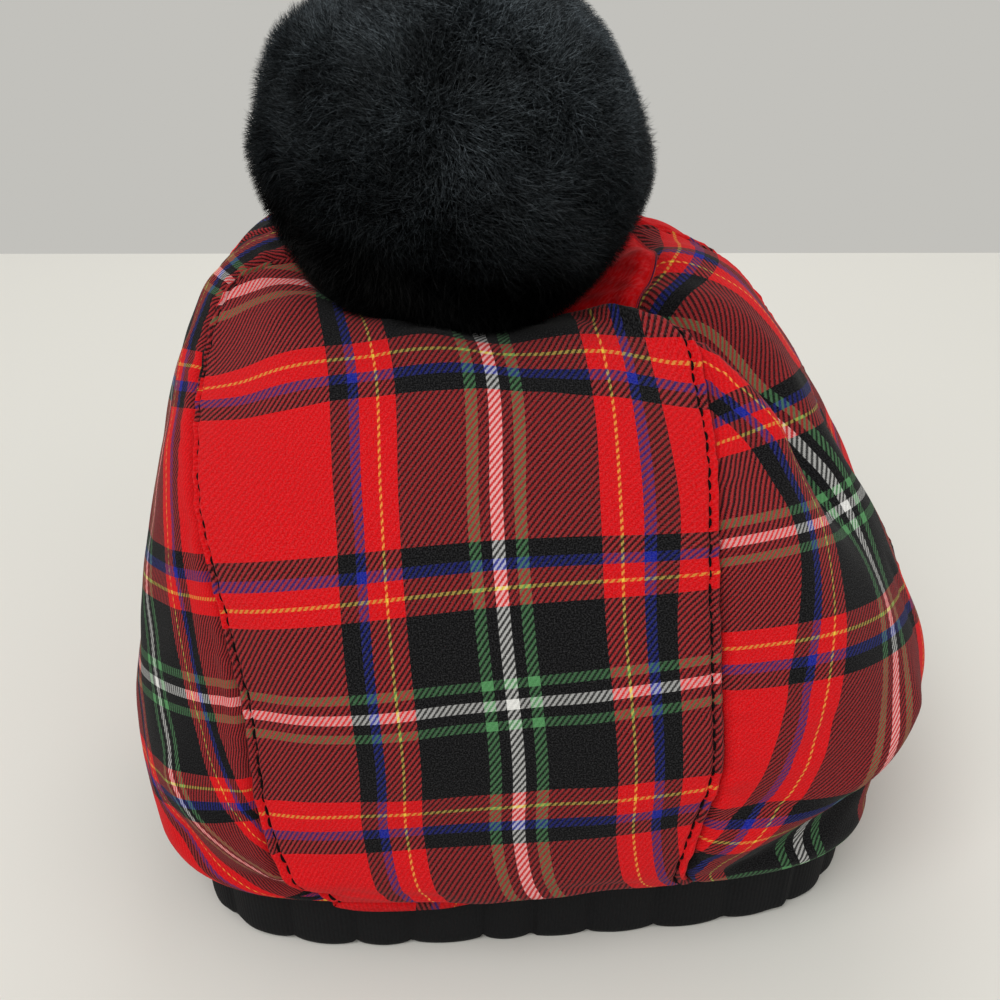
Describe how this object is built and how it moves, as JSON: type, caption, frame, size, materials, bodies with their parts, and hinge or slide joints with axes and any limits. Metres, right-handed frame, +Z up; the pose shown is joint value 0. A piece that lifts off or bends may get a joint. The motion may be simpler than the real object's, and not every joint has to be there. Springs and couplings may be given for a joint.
{
  "type": "tam o shanter",
  "caption": "Soft tartan tam with a panelled crown, a gathered black elastic band and a large black fur pompom.",
  "frame": {"origin": "on the surface the hat rests on, under the middle of its outline", "axes": "+Z up, -Y towards the front panel, +X to the right-hand side seen from the front"},
  "size_m": [0.2254, 0.1952, 0.235],
  "materials": {
    "tartan": "brushed cotton twill in a red, black, green, blue, white and yellow tartan",
    "elastic": "gathered black elastic ribbing",
    "fur": "dense short black fur"
  },
  "bodies": {
    "root": {"front_panel": "tartan", "right_panel": "tartan", "back_right_panel": "tartan", "back_panel": "tartan", "back_left_panel": "tartan", "left_panel": "tartan", "band": "elastic", "pompom": "fur"}
  },
  "joints": []
}
